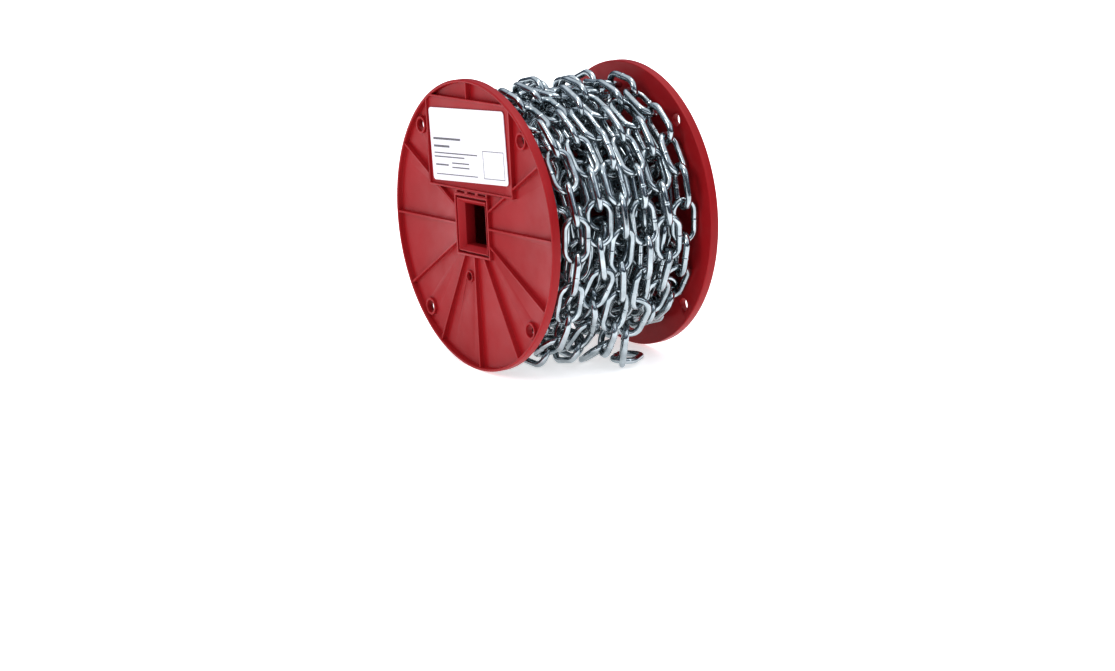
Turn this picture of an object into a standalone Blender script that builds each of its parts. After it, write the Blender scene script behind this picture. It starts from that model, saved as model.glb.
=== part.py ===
"""Reel of welded steel chain.

A moulded plastic reel lies on the rims of its two flanges, with its axis along Y and its
label side towards -Y. Straight link chain is wound on its drum: the hidden inner layers are
one plain core, and the outer layer is modelled link by link. The origin is on the floor,
below the middle of the reel.
"""
import math

import bmesh
import bpy
from mathutils import Matrix, Vector

MM = 0.001

# Reel
FLANGE_RADIUS = 108.0 * MM
REEL_WIDTH = 145.0 * MM
REEL_ROLL = math.radians(5.0)
FLANGE_SIDES = 60
FLANGE_DEPTH = 7.0 * MM
RIM_WALL = 2.2 * MM
RECESS_AT_RIM = 5.0 * MM
RECESS_AT_HUB = 3.2 * MM
RIB_THICKNESS = 1.8 * MM
RIB_DROP = 0.4 * MM
RIB_ROOT = 6.0 * MM
HUB_SIZE = 46.0 * MM
HUB_MOUTH = 40.0 * MM
HUB_ROOT = 6.4 * MM
ARBOR_SIZE = 31.0 * MM
SOCKET_SIZE = 36.0 * MM
SOCKET_START = 5.0 * MM
SOCKET_DEPTH = 12.5 * MM
MOUTH_DEPTH = 3.5 * MM
TIE_HOLE_RADIUS = 4.75 * MM
TIE_HOLE_OFFSET = 69.0 * MM
TIE_BOSS_RADIUS = 6.6 * MM
BOSS_DROP = 3.0 * MM
BOSS_ROOT = 6.2 * MM
SMALL_HOLE_RADIUS = 3.2 * MM
SMALL_BOSS_RADIUS = 4.6 * MM
SMALL_HOLE_AT = (-10.4 * MM, -38.8 * MM)

# Label pocket, measured from the reel's centre with the reel not rolled
POCKET_HALF_WIDTH = 57.6 * MM
POCKET_BOTTOM = 25.7 * MM
POCKET_TOP = 93.8 * MM
POCKET_WALL = 1.6 * MM
POCKET_FLOOR = 1.8 * MM
POCKET_DROP = 0.2 * MM
POCKET_ROOT = 5.8 * MM
STRIP_HALF_WIDTH = 22.0 * MM
STRIP_DROP = 0.6 * MM
STRIP_ROOT = 5.4 * MM
SLOT_PITCH = 14.4 * MM
SLOT_HALF_LENGTH = 5.2 * MM
SLOT_HALF_HEIGHT = 0.7 * MM
SLOT_DEPTH = 3.0 * MM
LABEL_SIZE = (104.0 * MM, 54.0 * MM)
LABEL_THICKNESS = 0.5 * MM
LABEL_CENTRE = (-1.5 * MM, 59.2 * MM)
LABEL_TILT = math.radians(2.7)
LABEL_CORNER = 3.0 * MM

# Drum and hidden chain
DRUM_RADIUS = 46.0 * MM
DRUM_WALL = 3.0 * MM
SPIGOT_WALL = 2.0 * MM
SPIGOT_LENGTH = 6.0 * MM
DRUM_SIDES = 36
CORE_RADIUS = 78.0 * MM
CORE_SIDES = 48
GAP = 0.3 * MM
CUT_OVER = 1.0 * MM

# Chain: bars are square, with about the section of the round wire
LINK_PITCH = 24.35 * MM
LINK_HALF_BAR = 2.2 * MM
LINK_HALF_WIDTH = 8.2 * MM
LINK_FUSE = 0.35 * MM
BAR_HALF_LENGTH = 7.5 * MM
CROWN_HALF_WIDTH = 4.0 * MM
TURN_GAP_PITCH = 22.8 * MM
LINKS_PER_TURN = 24

# Winding: angles run from +X towards +Z, and the chain winds the other way
WRAP_RADIUS = 92.5 * MM
WRAP_RISE = 1.8 * MM
WRAP_PITCH = 18.3 * MM
WRAP_START_ANGLE = math.radians(-60.2)
WRAP_START_Y = -54.5 * MM
WRAP_FLARE = 0.02
WAVE_HEIGHT = 0.7 * MM
WAVE_RATE = 2.3
WAVE_PHASE = 1.0
NEAR_TURNS = (0.0, 3.91)
FAR_TURNS = (4.17, 5.98)
FIRST_TURN_LINKS = 30
LINK_LEAN = math.radians(-22.0)
LEAN_WOBBLE = math.radians(4.0)
SAG_ANGLE = math.radians(-60.0)
SAG_SPREAD = math.radians(23.0)
SAG_DEPTH = 9.0 * MM
SAG_GROWTH = 0.15
SAG_TURNS = 4.0
FLOOR_CLEARANCE = 12.9 * MM
STEP_ANGLE = math.radians(0.05)

# Free end: one link off the winding, one that hangs to the floor, and the last one on the floor
HANG_TOP = Vector((57.5, 19.5, 29.3)) * MM
HANG_ACROSS = Vector((0.835, -0.55, 0.0))
LAST_ALONG = Vector((-0.38, 0.92, -0.16))

RED = (0.43, 0.035, 0.05, 1.0)
WHITE = (0.9, 0.9, 0.92, 1.0)
ZINC = (0.55, 0.58, 0.62, 1.0)


def clear_scene():
    for obj in list(bpy.data.objects):
        bpy.data.objects.remove(obj, do_unlink=True)


def make_material(name, colour, roughness, metallic):
    material = bpy.data.materials.new(name)
    material.use_nodes = True
    shader = material.node_tree.nodes["Principled BSDF"]
    shader.inputs["Base Color"].default_value = colour
    shader.inputs["Roughness"].default_value = roughness
    shader.inputs["Metallic"].default_value = metallic
    return material


def mesh_object(name, bm, material=None, matrix=None):
    if matrix is not None:
        bmesh.ops.transform(bm, matrix=matrix, verts=bm.verts)
    bmesh.ops.recalc_face_normals(bm, faces=bm.faces)
    mesh = bpy.data.meshes.new(name)
    bm.to_mesh(mesh)
    bm.free()
    if material is not None:
        mesh.materials.append(material)
    obj = bpy.data.objects.new(name, mesh)
    bpy.context.scene.collection.objects.link(obj)
    return obj


def combine(target, tool, operation):
    """Keep a Boolean on the target, and hide its tool."""
    modifier = target.modifiers.new(operation.title() + "_" + tool.name, "BOOLEAN")
    modifier.operation = operation
    modifier.solver = "EXACT"
    modifier.object = tool
    tool.hide_render = True
    tool.display_type = "WIRE"


def add_prism(bm, outline, y_low, y_high):
    """Extrude an outline, given as (x, z) corners, along Y."""
    low = [bm.verts.new((x, y_low, z)) for x, z in outline]
    high = [bm.verts.new((x, y_high, z)) for x, z in outline]
    bm.faces.new(low)
    bm.faces.new(list(reversed(high)))
    count = len(outline)
    for i in range(count):
        j = (i + 1) % count
        bm.faces.new((low[j], low[i], high[i], high[j]))


def rectangle(x_low, x_high, z_low, z_high):
    return [(x_low, z_low), (x_high, z_low), (x_high, z_high), (x_low, z_high)]


def circle(centre, radius, sides):
    step = 2.0 * math.pi / sides
    return [(centre[0] + radius * math.cos(i * step), centre[1] + radius * math.sin(i * step))
            for i in range(sides)]


def turned(points, sides, start=0.0):
    """Turn a closed outline of (radius, y) points about the Y axis."""
    bm = bmesh.new()
    rings = []
    for i in range(sides):
        angle = start + i * 2.0 * math.pi / sides
        rings.append([bm.verts.new((r * math.cos(angle), y, r * math.sin(angle))) for r, y in points])
    for i in range(sides):
        here = rings[i]
        after = rings[(i + 1) % sides]
        for k in range(len(points)):
            n = (k + 1) % len(points)
            bm.faces.new((here[k], here[n], after[n], after[k]))
    return bm


def flange_dish(rim_turn):
    """Rim, web and spigot ring, with y counted inwards from the rim's outer plane."""
    half_side = math.pi / FLANGE_SIDES
    outer = FLANGE_RADIUS / math.cos(half_side)
    spigot = DRUM_RADIUS - DRUM_WALL - GAP
    spigot_end = FLANGE_DEPTH + SPIGOT_LENGTH
    middle = 0.4 * HUB_SIZE
    points = [
        (outer, 0.0),
        (outer, FLANGE_DEPTH),
        (spigot, FLANGE_DEPTH),
        (spigot, spigot_end),
        (spigot - SPIGOT_WALL, spigot_end),
        (spigot - SPIGOT_WALL, FLANGE_DEPTH),
        (middle, FLANGE_DEPTH),
        (middle, RECESS_AT_HUB),
        (outer - RIM_WALL, RECESS_AT_RIM),
        (outer - RIM_WALL, 0.0),
    ]
    return turned(points, FLANGE_SIDES, half_side + rim_turn)


def rib_outline(angle, r_low, r_high):
    along = Vector((math.cos(angle), math.sin(angle)))
    across = Vector((-along.y, along.x)) * (RIB_THICKNESS / 2.0)
    near = along * r_low
    far = along * r_high
    return [(c.x, c.y) for c in (near - across, far - across, far + across, near + across)]


def flange_ribs():
    """Ribs every 30 degrees, apart from the two that the label pocket takes up."""
    bm = bmesh.new()
    rim = FLANGE_RADIUS - RIM_WALL / 2.0
    hub = 0.44 * HUB_SIZE
    for degrees in range(0, 360, 30):
        if degrees in (60, 120):
            continue
        start = POCKET_TOP - POCKET_WALL / 2.0 if degrees == 90 else hub
        add_prism(bm, rib_outline(math.radians(degrees), start, rim), RIB_DROP, RIB_ROOT)
    return bm


def pocket_outline(inset, radius):
    """The pocket's frame, with its top corners cut by the rim."""
    half = POCKET_HALF_WIDTH - inset
    low = POCKET_BOTTOM + inset
    high = POCKET_TOP - inset
    side_top = math.sqrt(radius ** 2 - half ** 2)
    top_half = math.sqrt(radius ** 2 - high ** 2)
    right = [(half, low), (half, side_top), (top_half, high)]
    return [(-half, low)] + right + [(-top_half, high), (-half, side_top)]


def square(size):
    half = size / 2.0
    return rectangle(-half, half, -half, half)


def tie_holes():
    offset = TIE_HOLE_OFFSET
    return [(offset, offset), (-offset, offset), (-offset, -offset), (offset, -offset)]


def mouth_cutter():
    """The bevelled mouth of the arbor socket."""
    bm = bmesh.new()
    slope = (HUB_MOUTH - ARBOR_SIZE) / 2.0 / MOUTH_DEPTH
    rings = []
    for y in (-CUT_OVER, MOUTH_DEPTH):
        half = HUB_MOUTH / 2.0 - slope * y
        rings.append([bm.verts.new((x, y, z)) for x, z in rectangle(-half, half, -half, half)])
    bm.faces.new(rings[0])
    bm.faces.new(list(reversed(rings[1])))
    for i in range(4):
        j = (i + 1) % 4
        bm.faces.new((rings[0][j], rings[0][i], rings[1][i], rings[1][j]))
    return bm


def make_flange(name, material, matrix, rim_turn):
    """One moulded flange. The rim is turned so that one of its flats lies on the floor."""
    flange = mesh_object(name, flange_dish(rim_turn), material, matrix)

    def tool(part, bm, operation):
        combine(flange, mesh_object(name + "_" + part, bm, None, matrix), operation)

    def prisms(outlines, y_low, y_high):
        bm = bmesh.new()
        for outline in outlines:
            add_prism(bm, outline, y_low, y_high)
        return bm

    strip_low = HUB_SIZE / 2.0 - CUT_OVER
    strip_high = POCKET_BOTTOM + CUT_OVER / 2.0
    strip = rectangle(-STRIP_HALF_WIDTH, STRIP_HALF_WIDTH, strip_low, strip_high)
    slot_low = (HUB_SIZE / 2.0 + POCKET_BOTTOM) / 2.0 - SLOT_HALF_HEIGHT
    slot_high = slot_low + 2.0 * SLOT_HALF_HEIGHT
    slots = [rectangle(x - SLOT_HALF_LENGTH, x + SLOT_HALF_LENGTH, slot_low, slot_high)
             for x in (-SLOT_PITCH, 0.0, SLOT_PITCH)]
    bosses = [circle(centre, TIE_BOSS_RADIUS, 12) for centre in tie_holes()]
    holes = [circle(centre, TIE_HOLE_RADIUS, 12) for centre in tie_holes()]
    small_boss = circle(SMALL_HOLE_AT, SMALL_BOSS_RADIUS, 10)
    small_hole = circle(SMALL_HOLE_AT, SMALL_HOLE_RADIUS, 10)
    rim_middle = FLANGE_RADIUS - RIM_WALL / 2.0
    pocket_floor = pocket_outline(POCKET_WALL, FLANGE_RADIUS - RIM_WALL)

    tool("ribs", flange_ribs(), "UNION")
    tool("pocket", prisms([pocket_outline(0.0, rim_middle)], POCKET_DROP, POCKET_ROOT), "UNION")
    tool("hub", prisms([square(HUB_SIZE)], 0.0, HUB_ROOT), "UNION")
    tool("socket", prisms([square(SOCKET_SIZE)], SOCKET_START, SOCKET_DEPTH), "UNION")
    tool("strip", prisms([strip], STRIP_DROP, STRIP_ROOT), "UNION")
    tool("bosses", prisms(bosses + [small_boss], BOSS_DROP, BOSS_ROOT), "UNION")
    tool("pocket_floor", prisms([pocket_floor], -CUT_OVER, POCKET_FLOOR), "DIFFERENCE")
    tool("slots", prisms(slots, -CUT_OVER, SLOT_DEPTH), "DIFFERENCE")
    tool("mouth", mouth_cutter(), "DIFFERENCE")
    tool("arbor", prisms([square(ARBOR_SIZE)], -CUT_OVER, SOCKET_DEPTH + CUT_OVER), "DIFFERENCE")
    tool("holes", prisms(holes + [small_hole], -CUT_OVER, FLANGE_DEPTH + CUT_OVER), "DIFFERENCE")
    return flange


def make_label(material, matrix):
    """A card with rounded corners, stuck a little askew in the pocket."""
    half_x = LABEL_SIZE[0] / 2.0 - LABEL_CORNER
    half_z = LABEL_SIZE[1] / 2.0 - LABEL_CORNER
    outline = []
    for quarter, (sx, sz) in enumerate(((1, 1), (-1, 1), (-1, -1), (1, -1))):
        for step in range(4):
            angle = math.radians(90.0 * quarter + 30.0 * step)
            x = sx * half_x + LABEL_CORNER * math.cos(angle)
            z = sz * half_z + LABEL_CORNER * math.sin(angle)
            outline.append((LABEL_CENTRE[0] + x * math.cos(LABEL_TILT) - z * math.sin(LABEL_TILT),
                            LABEL_CENTRE[1] + x * math.sin(LABEL_TILT) + z * math.cos(LABEL_TILT)))
    bm = bmesh.new()
    back = POCKET_FLOOR - GAP
    add_prism(bm, outline, back - LABEL_THICKNESS, back)
    return mesh_object("label", bm, material, matrix)


def make_tube(name, inner, outer, half_length, sides, material, centre):
    points = [(outer, -half_length), (outer, half_length), (inner, half_length), (inner, -half_length)]
    return mesh_object(name, turned(points, sides), material, Matrix.Translation(centre))


def add_link(bm, centre, along, across):
    """One link: an eight-sided loop of square bar, lying in the plane of along and across."""
    normal = along.cross(across).normalized()
    crown = LINK_PITCH / 2.0 - LINK_FUSE / 2.0 + LINK_HALF_BAR
    loop = [
        (BAR_HALF_LENGTH, LINK_HALF_WIDTH), (-BAR_HALF_LENGTH, LINK_HALF_WIDTH),
        (-crown, CROWN_HALF_WIDTH), (-crown, -CROWN_HALF_WIDTH),
        (-BAR_HALF_LENGTH, -LINK_HALF_WIDTH), (BAR_HALF_LENGTH, -LINK_HALF_WIDTH),
        (crown, -CROWN_HALF_WIDTH), (crown, CROWN_HALF_WIDTH),
    ]
    rings = []
    count = len(loop)
    for i in range(count):
        here = Vector(loop[i])
        before = (here - Vector(loop[i - 1])).normalized()
        after = (Vector(loop[(i + 1) % count]) - here).normalized()
        mitre = Vector((before.y + after.y, -before.x - after.x)).normalized()
        reach = LINK_HALF_BAR / mitre.dot(Vector((before.y, -before.x)))
        ring = []
        for side, height in ((1, 1), (-1, 1), (-1, -1), (1, -1)):
            flat = here + mitre * (reach * side)
            corner = centre + along * flat.x + across * flat.y + normal * (LINK_HALF_BAR * height)
            ring.append(bm.verts.new(corner))
        rings.append(ring)
    for i in range(count):
        here = rings[i]
        after = rings[(i + 1) % count]
        for k in range(4):
            n = (k + 1) % 4
            bm.faces.new((here[k], here[n], after[n], after[k]))


def wrap_point(turned_angle):
    """The chain's centre line, after it has turned this far round the drum."""
    angle = WRAP_START_ANGLE - turned_angle
    turns = turned_angle / (2.0 * math.pi)
    y = WRAP_START_Y + WRAP_PITCH * turns
    sag_depth = (SAG_DEPTH + SAG_GROWTH * (y - WRAP_START_Y)) if turns < SAG_TURNS else 0.0
    from_sag = (angle - SAG_ANGLE + math.pi) % (2.0 * math.pi) - math.pi
    radius = WRAP_RADIUS + WRAP_RISE * math.sin(angle) + WRAP_FLARE * y
    radius += WAVE_HEIGHT * math.sin(WAVE_RATE * turned_angle + WAVE_PHASE)
    radius += sag_depth * math.exp(-(from_sag / SAG_SPREAD) ** 2)
    depth = math.sin(-angle)
    if depth > 0.5:
        radius = min(radius, (FLANGE_RADIUS - FLOOR_CLEARANCE) / depth)
    return Vector((radius * math.cos(angle), y, FLANGE_RADIUS + radius * math.sin(angle)))


def next_angle(turned_angle, spacing):
    """Walk on along the wrap until the next link's centre is one spacing away."""
    start = wrap_point(turned_angle)
    angle = turned_angle
    while (wrap_point(angle) - start).length < spacing:
        angle += STEP_ANGLE
    return angle


def lean_link(centre, along, wobble, on_edge):
    """Centre, length direction and width direction of a link that leans against its neighbours."""
    outward = centre - Vector((0.0, centre.y, FLANGE_RADIUS))
    sideways = outward.cross(along).normalized()
    outward = along.cross(sideways).normalized()
    if sideways.y < 0.0:
        sideways = -sideways
    roll = LINK_LEAN + wobble + (math.pi / 2.0 if on_edge else 0.0)
    if outward.dot(centre - Vector((0.0, centre.y, FLANGE_RADIUS))) < 0.0:
        outward = -outward
    return centre, along, sideways * math.cos(roll) + outward * math.sin(roll)


def wrap_link(index, turned_angle):
    """One wound link, in line with the helix."""
    along = (wrap_point(turned_angle + STEP_ANGLE) - wrap_point(turned_angle - STEP_ANGLE)).normalized()
    return lean_link(wrap_point(turned_angle), along, LEAN_WOBBLE * math.sin(1.7 * index), index % 2 == 1)


def make_turn(name, links, material):
    """Fuse the links of one turn where they hook into each other."""
    meshes = [bmesh.new(), bmesh.new()]
    for position, link in enumerate(links):
        add_link(meshes[position % 2], *link)
    turn = mesh_object(name, meshes[0], material)
    combine(turn, mesh_object(name + "_between", meshes[1]), "UNION")
    return turn


def wind_turns(material, first_name, turns, first_links):
    """Wind nodes of links from one place on the helix to another, and return the last link."""
    limit = first_links
    angle = turns[0] * 2.0 * math.pi
    end = turns[1] * 2.0 * math.pi
    number = first_name
    index = 0
    link = None
    links = []
    while angle < end:
        link = wrap_link(index, angle)
        links.append(link)
        index += 1
        last_of_turn = len(links) == limit
        if last_of_turn:
            make_turn("chain_turn_%d" % number, links, material)
            number += 1
            limit = LINKS_PER_TURN
            links = []
        angle = next_angle(angle, TURN_GAP_PITCH if last_of_turn else LINK_PITCH)
    if len(links) > 1:
        make_turn("chain_turn_%d" % number, links, material)
    return link


def make_free_end(material, last_wound):
    """The chain's end: two links off the winding, one hanging to the floor, one lying on it."""
    half_pitch = LINK_PITCH / 2.0
    crown = half_pitch - LINK_FUSE / 2.0 + LINK_HALF_BAR
    hook = last_wound[0] + last_wound[1] * (TURN_GAP_PITCH / 2.0)
    along = (HANG_TOP - hook).normalized()
    down = Vector((0.0, 0.0, -1.0))
    upper = lean_link(HANG_TOP - along * (3.0 * half_pitch), along, 0.0, True)
    lower = lean_link(HANG_TOP - along * half_pitch, along, 0.0, False)
    hanging = (HANG_TOP + down * half_pitch, down, HANG_ACROSS.normalized())
    along = LAST_ALONG.normalized()
    near_crown = hanging[0] + down * (crown - 2.0 * LINK_HALF_BAR + LINK_FUSE / 2.0)
    lying = (near_crown + along * crown, along, along.cross(down).normalized())
    make_turn("chain_free_end", [upper, lower, hanging, lying], material)


def build():
    clear_scene()
    red = make_material("reel_plastic", RED, 0.35, 0.0)
    white = make_material("label_paper", WHITE, 0.6, 0.0)
    zinc = make_material("chain_steel", ZINC, 0.25, 1.0)

    centre = Vector((0.0, 0.0, FLANGE_RADIUS))
    roll = Matrix.Rotation(-REEL_ROLL, 4, "Y")
    outwards = Matrix.Translation((0.0, -REEL_WIDTH / 2.0, 0.0))
    label_side = Matrix.Translation(centre) @ roll @ outwards
    far_side = Matrix.Translation(centre) @ roll @ Matrix.Rotation(math.pi, 4, "Z") @ outwards
    make_flange("flange_label_side", red, label_side, -REEL_ROLL)
    make_flange("flange_far_side", red, far_side, REEL_ROLL)
    make_label(white, label_side)

    half_length = REEL_WIDTH / 2.0 - FLANGE_DEPTH - GAP
    make_tube("drum", DRUM_RADIUS - DRUM_WALL, DRUM_RADIUS, half_length, DRUM_SIDES, red, centre)
    make_tube("inner_turns", DRUM_RADIUS + GAP, CORE_RADIUS, half_length, CORE_SIDES, zinc, centre)
    make_free_end(zinc, wind_turns(zinc, 1, NEAR_TURNS, FIRST_TURN_LINKS))
    wind_turns(zinc, 5, FAR_TURNS, LINKS_PER_TURN)


build()
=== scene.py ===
"""Looks of a reel of welded steel chain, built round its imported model.

The reel's flanges are remade with a round rim and softened edges. The chain is remade link by
link: its links are wound on the drum in four layers along helices, and then pushed apart as
rigid bodies as far as there is room. Lengths are in millimetres until they reach a mesh.
"""

import math

import bmesh
import bpy
import numpy as np
from mathutils import Matrix, Vector


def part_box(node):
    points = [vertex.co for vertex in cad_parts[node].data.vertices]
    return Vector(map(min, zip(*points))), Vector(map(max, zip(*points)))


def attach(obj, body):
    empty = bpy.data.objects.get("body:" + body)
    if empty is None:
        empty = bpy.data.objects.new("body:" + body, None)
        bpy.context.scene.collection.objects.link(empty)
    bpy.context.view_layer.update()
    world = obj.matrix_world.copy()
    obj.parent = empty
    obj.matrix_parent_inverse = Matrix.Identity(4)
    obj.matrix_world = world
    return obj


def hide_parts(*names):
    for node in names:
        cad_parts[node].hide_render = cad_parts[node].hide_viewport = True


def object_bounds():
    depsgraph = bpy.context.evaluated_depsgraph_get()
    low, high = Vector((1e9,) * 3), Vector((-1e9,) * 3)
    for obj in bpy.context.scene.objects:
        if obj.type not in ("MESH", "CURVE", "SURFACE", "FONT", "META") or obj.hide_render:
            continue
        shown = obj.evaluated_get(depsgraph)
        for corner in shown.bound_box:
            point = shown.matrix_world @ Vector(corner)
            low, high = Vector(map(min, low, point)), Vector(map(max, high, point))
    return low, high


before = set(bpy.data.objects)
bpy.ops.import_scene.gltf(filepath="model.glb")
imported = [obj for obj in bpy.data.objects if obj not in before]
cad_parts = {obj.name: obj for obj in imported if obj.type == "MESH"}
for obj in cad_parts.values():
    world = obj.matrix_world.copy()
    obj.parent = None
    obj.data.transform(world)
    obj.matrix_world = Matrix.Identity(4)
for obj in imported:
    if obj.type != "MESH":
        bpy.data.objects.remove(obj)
cad_low, cad_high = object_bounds()

MM = 0.001
TINY = 1e-9
SEED = 7

# Reel, from the frame
flange_low, flange_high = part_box("flange_label_side")
REEL_RADIUS = (flange_high.z - flange_low.z) / 2.0 / MM
REEL_CENTRE_Z = REEL_RADIUS
REEL_WIDTH = (cad_high.y - cad_low.y) / MM
REEL_ROLL = math.radians(5.0)

# Flange, with y counted inwards from the rim's outer plane
RIM_SIDES = 180
FLANGE_DEPTH = 7.0
RIM_WALL = 2.2
RIM_ROUND = 0.5
RIM_CHAMFER = 0.3
RECESS_AT_RIM = 4.0
RECESS_AT_HUB = 2.9
SPIGOT_RADIUS = 42.7
SPIGOT_WALL = 2.0
SPIGOT_LENGTH = 6.0

# Ribs, by their angle in degrees: the pocket takes the place of two, and shortens one
RIB_STEP = 30
RIBS_LEFT_OUT = (60, 120)
RIB_ABOVE_POCKET = 90
RIB_TOP = 1.5
RIB_BASE = 2.1
RIB_DROP = 0.4
RIB_ROOT = 6.0

# Hub and arbor socket
HUB_SIZE = 46.0
HUB_ROOT = 6.4
HUB_FRAME = 1.8
HUB_GROOVE = 1.5
HUB_GROOVE_DEPTH = 3.0
HUB_OPENING = 22.4
RIB_START = 0.44 * HUB_SIZE
MOUTH_DROP = 0.2
MOUTH_LIP = 0.8
MOUTH_DEPTH = 4.6
MOUTH_EDGE = 0.4
MOUTH_EDGE_DEPTH = 0.6
ARBOR_SIZE = 31.0
SOCKET_SIZE = 36.0
SOCKET_DEPTH = 12.5

# Tie holes and the small hole below the hub
TIE_HOLE_OFFSET = 69.0
TIE_HOLE_RADIUS = 4.75
TIE_HOLE_SIDES = 32
TIE_BOSS_RADIUS = 6.6
TIE_BOSS_SIDES = 36
SMALL_HOLE_AT = (-10.4, -38.8)
SMALL_HOLE_RADIUS = 3.2
SMALL_HOLE_SIDES = 24
SMALL_BOSS_RADIUS = 4.6
SMALL_BOSS_SIDES = 30
BOSS_DROP = 1.8
BOSS_ROOT = 6.2

# Label pocket, and the strip with three slots between it and the hub
POCKET_HALF_WIDTH = 57.6
POCKET_BOTTOM = 25.7
POCKET_TOP = 93.8
POCKET_WALL = 1.6
POCKET_FLOOR = 1.8
POCKET_DROP = 0.2
POCKET_ROOT = 5.8
STRIP_HALF_WIDTH = 22.0
STRIP_LAP = 0.5
STRIP_DROP = 0.6
STRIP_ROOT = 5.4
SLOT_PITCH = 14.4
SLOT_HALF_LENGTH = 5.2
SLOT_HALF_HEIGHT = 0.7
SLOT_DEPTH = 3.0

# Joining and softening
CUT_OVER = 1.0
MERGE_DISTANCE = 0.08
EDGE_ROUND = 0.3
EDGE_SEGMENTS = 2
ROUNDED_FROM = math.radians(35.0)
SHARP_FROM = math.radians(28.0)

# Label
LABEL_SIZE = (104.0, 54.0)
LABEL_CENTRE = (-1.5, 59.2)
LABEL_TILT = math.radians(2.7)
LABEL_CORNER = 3.0
LABEL_CORNER_STEPS = 8
LABEL_BACK = 1.5
LABEL_THICKNESS = 0.5

# Label print: grey rules and an empty box, as x, z, width and height from the label's middle
INK_LIFT = 0.03
LABEL_RULES = (
    (-29.0, 4.0, 38.0, 1.6),
    (-37.0, -1.6, 22.0, 1.6),
    (-18.0, -6.6, 60.0, 0.9),
    (-27.0, -9.4, 42.0, 0.9),
    (-38.0, -15.4, 18.0, 1.2),
    (-12.0, -13.6, 24.0, 0.9),
    (-12.0, -16.8, 24.0, 0.9),
    (-18.0, -22.4, 58.0, 0.7),
)
LABEL_BOX = (34.0, -13.0, 28.0, 20.0)
LABEL_BOX_LINE = 0.5

# Links: 36 mm long and 22 mm wide outside
WIRE_RADIUS = 2.45
BAR_HALF_LENGTH = 7.0
CROWN_RADIUS = 8.55
LINK_PITCH = 26.3

# Weld on one bar of a link: places along the bar, and the wire's thickness there
WELD_PROFILE = (
    (-2.4, 1.0), (-1.5, 1.0), (-1.05, 0.97), (-0.7, 1.088), (0.0, 1.11),
    (0.7, 1.088), (1.05, 0.97), (1.5, 1.0), (2.4, 1.0),
)

# Winding: angles run from +X towards +Z, and the chain winds the other way. Each turn has a flat
# link at its front, with an angle and a lean in degrees, and a place along the axis
START_ANGLE = math.radians(-60.2)
START_Y = -54.2
FRONT_LINKS = (
    (2.7, -41.5, -3.0),
    (7.9, -19.0, -3.0),
    (-5.5, 0.0, -30.0),
    (5.3, 18.6, -2.0),
    (-2.5, 38.8, 7.0),
    (2.0, 55.0, -10.0),
)
EDGE_LEAN = math.radians(-57.0)
WRAP_RADIUS = 92.5
WRAP_RISE = 1.8
WRAP_FLARE = 0.02
WAVE_HEIGHT = 0.7
WAVE_RATE = 2.3
WAVE_PHASE = 1.0

# Where the two runs of the outer layer begin and end, and how many links lie between their stops
NEAR_START = math.radians(9.0)
NEAR_OVERRUN = math.radians(31.6)
NEAR_LINKS = (18, 22, 24, 22, 2)
FAR_LEAD = math.radians(226.0)
FAR_OVERRUN = math.radians(48.5)
FAR_LINKS = (14, 22, 3)
PATH_STEPS = 60
PATH_NUDGE = 0.001
OUTER_LOOSENESS = 0.03

# Sag at the bottom of the winding, where the floor limits it
SAG_ANGLE = math.radians(-60.0)
SAG_SPREAD = math.radians(23.0)
SAG_DEPTH = 10.0
SAG_GROWTH = 0.15
SAG_TURNS = 4.0
LOW_PART = 0.5
FLOOR_CLEARANCE = 9.0

# Free end: one link off the winding, one that hangs to the floor, and the last one on the floor
HOOK_REACH = 0.44
LOOSE_ALONG = (-0.46, -0.15, -0.89)
HANG_ALONG = (-0.30, 0.09, -0.95)
HANG_ACROSS = (0.835, -0.55, 0.0)
LAST_ALONG = (-0.646, 0.762, -0.1)

# Hidden layers under the outer one
INNER_LAYERS = (
    {"radius": 78.5, "start_y": 55.0, "pitch": -17.6, "phase": 0.4, "sag": 8.0},
    {"radius": 65.0, "start_y": -55.0, "pitch": 17.6, "phase": 1.0, "sag": 5.0},
    {"radius": 53.0, "start_y": 55.0, "pitch": -17.6, "phase": 2.1, "sag": 2.0},
)
INNER_TURNS = 6.25
INNER_WAVE_HEIGHT = 0.8
INNER_WAVE_RATE = 1.7
INNER_EDGE_LEAN = math.radians(75.0)
INNER_LEAN_SPREAD = 0.3
INNER_SWAY = 0.25
INNER_SWAY_RATE = 0.7
INNER_LOOSENESS = 0.06

# Room for the links, between the drum and the flanges
INNER_LIMIT = 50.0
SIDE_LIMIT = REEL_WIDTH / 2.0 - FLANGE_DEPTH
SIDE_GAP = 0.1

# Pushing the links apart
SETTLE_STEPS = 320
LOOP_STEPS = 4
LINK_INERTIA = 80.0
PAIRS_EVERY = 8
PAIR_REACH = 38.0
BAR_REACH = 6.4
PUSH_EASE = 1.4
CROWD_POWER = 0.75
HOLD_UNTIL = 0.75
TURN_HOLD = 0.5
LONGEST_SHIFT = 1.5
LARGEST_TURN = 0.12

# Pieces of chain, in the order of their runs: name, replaced nodes, how firmly its links are
# held where they were wound, sides of the wire, steps round a crown, and whether welds show.
# Every so many links, one is turned over
TURNED_OVER_EVERY = 3
NEAR_NODES = ("chain_turn_1", "chain_turn_2", "chain_turn_3", "chain_turn_4")
CHAIN_PIECES = (
    ("chain_near_turns", NEAR_NODES, 0.08, 16, 12, True),
    ("chain_far_turns", ("chain_turn_5", "chain_turn_6"), 0.08, 16, 12, True),
    ("chain_free_end_links", ("chain_free_end",), 1.0, 24, 20, True),
    ("chain_second_layer", ("inner_turns",), 0.012, 12, 9, False),
    ("chain_third_layer", ("inner_turns",), 0.012, 10, 7, False),
    ("chain_first_layer", ("inner_turns",), 0.012, 10, 6, False),
)

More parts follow.
